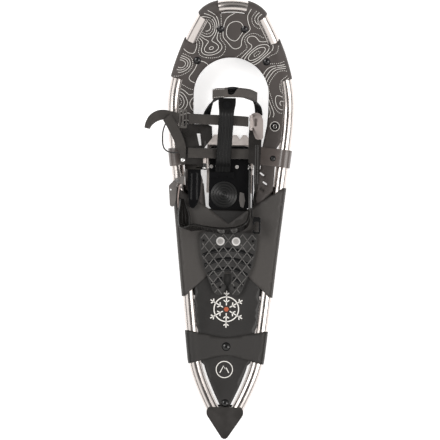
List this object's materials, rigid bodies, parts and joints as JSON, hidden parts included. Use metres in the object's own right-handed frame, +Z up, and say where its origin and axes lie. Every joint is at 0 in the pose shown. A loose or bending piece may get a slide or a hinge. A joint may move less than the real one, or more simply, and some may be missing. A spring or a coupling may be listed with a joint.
{
  "type": "snowshoe",
  "caption": "Snowshoe with a bent aluminium tube frame, a banded deck, heel and toe claws and a boot binding that pivots at the toe.",
  "frame": {"origin": "middle of the object's box, at the height of the claw tips that it stands on", "axes": "+Y along the snowshoe towards its nose, +Z up through the footbed towards the wearer, +X to the right"},
  "size_m": [0.2678, 0.784, 0.1141],
  "materials": {
    "polished_aluminium": "satin polished tube",
    "cap_rubber": "soft sheen black rubber",
    "deck_fabric": "coated woven deck, dark warm grey",
    "deck_rear_fabric": "coated deck, near black, slight gloss",
    "band_fabric": "coated band, dark grey",
    "hinge_urethane": "satin urethane, pinkish grey",
    "black_rivets": "black painted domed rivets and eyelets",
    "bright_steel": "bright plated steel",
    "claw_steel": "bare steel, slightly warm",
    "heel_rubber": "moulded rubber, matt",
    "glossy_plastic": "black moulded plastic",
    "pad_rubber": "black moulded rubber",
    "wing_plastic": "black flexible moulding",
    "black_strap": "black moulded strap",
    "black_webbing": "black woven webbing",
    "grey_webbing": "grey woven webbing",
    "grey_leaf": "grey plastic",
    "buckle_metal": "satin pinkish metal",
    "ladder_plastic": "pinkish moulded ladder strap",
    "loop_cord": "thin black cord"
  },
  "bodies": {
    "frame": {"frame_tube": "polished_aluminium", "tail_cap": "cap_rubber", "front_deck": "deck_fabric", "deck_rivets": "black_rivets", "arm_eyelets": "black_rivets", "rear_deck": "deck_rear_fabric", "mid_band": "band_fabric", "tail_band": "band_fabric", "tail_rivets": "black_rivets", "hinge_band_right": "hinge_urethane", "hinge_band_left": "hinge_urethane", "hinge_rivets": "black_rivets", "hanger_right": "claw_steel", "hanger_left": "claw_steel", "hanger_rivets": "bright_steel", "heel_plate": "heel_rubber", "heel_claw": "claw_steel", "heel_washers": "bright_steel", "heel_screws": "bright_steel", "heel_nuts": "bright_steel"},
    "binding": {"pivot_axle": "bright_steel", "toe_claw": "claw_steel", "footbed": "glossy_plastic", "sole_pad": "pad_rubber", "footbed_screws": "bright_steel", "cross_bar": "glossy_plastic", "right_wing": "wing_plastic", "wing_rivets": "bright_steel", "toe_arch": "black_strap", "toe_webbing": "grey_webbing", "tongue_strap": "black_strap", "tongue_boss": "black_strap", "front_strap": "black_webbing", "rear_strap": "black_webbing", "cam_body": "buckle_metal", "cam_pin": "bright_steel", "bed_flap": "grey_leaf", "wing_hinge_pin": "bright_steel", "heel_pin_right": "bright_steel", "heel_pin_left": "bright_steel"},
    "left_wing": {"left_wing": "wing_plastic", "strap_slider": "bright_steel", "strap_tail": "black_webbing", "strap_branch": "black_webbing", "pull_loop": "loop_cord", "tab_rivet": "bright_steel"},
    "heel_strap": {"heel_strap": "black_strap", "heel_anchor": "claw_steel", "side_guard": "glossy_plastic", "ladder_strap": "ladder_plastic", "buckle_base": "grey_leaf", "buckle_pin": "bright_steel", "strap_doubler": "black_strap", "strap_keeper": "black_strap"},
    "cam_lever": {"cam_lever": "buckle_metal"},
    "buckle_lever": {"buckle_lever": "grey_leaf"}
  },
  "joints": [
    {"name": "binding_pivot", "type": "hinge", "parent": "frame", "child": "binding", "pos_m": [0.0205, 0.1105, 0.036], "axis": [-1, 0, 0], "range_deg": [0, 60]},
    {"name": "left_wing_fold", "type": "hinge", "parent": "binding", "child": "left_wing", "pos_m": [-0.0244, 0.1095, 0.07], "axis": [0, 1, 0], "range_deg": [0, 105], "deforming": ["front_strap", "rear_strap"]},
    {"name": "heel_strap_swing", "type": "hinge", "parent": "binding", "child": "heel_strap", "pos_m": [0.0205, 0.0945, 0.0605], "axis": [-1, 0, 0], "range_deg": [0, 70]},
    {"name": "cam_lever_lift", "type": "hinge", "parent": "binding", "child": "cam_lever", "pos_m": [0.0573, 0.1705, 0.0822], "axis": [0, -1, 0], "range_deg": [0, 60]},
    {"name": "buckle_lever_swing", "type": "hinge", "parent": "heel_strap", "child": "buckle_lever", "pos_m": [-0.0725, 0.0695, 0.0625], "axis": [0, 0, -1], "range_deg": [0, 90]}
  ],
  "couplings": [
    {"joint": "left_wing_fold", "follows": "binding_pivot", "ratio": 1.75}
  ]
}
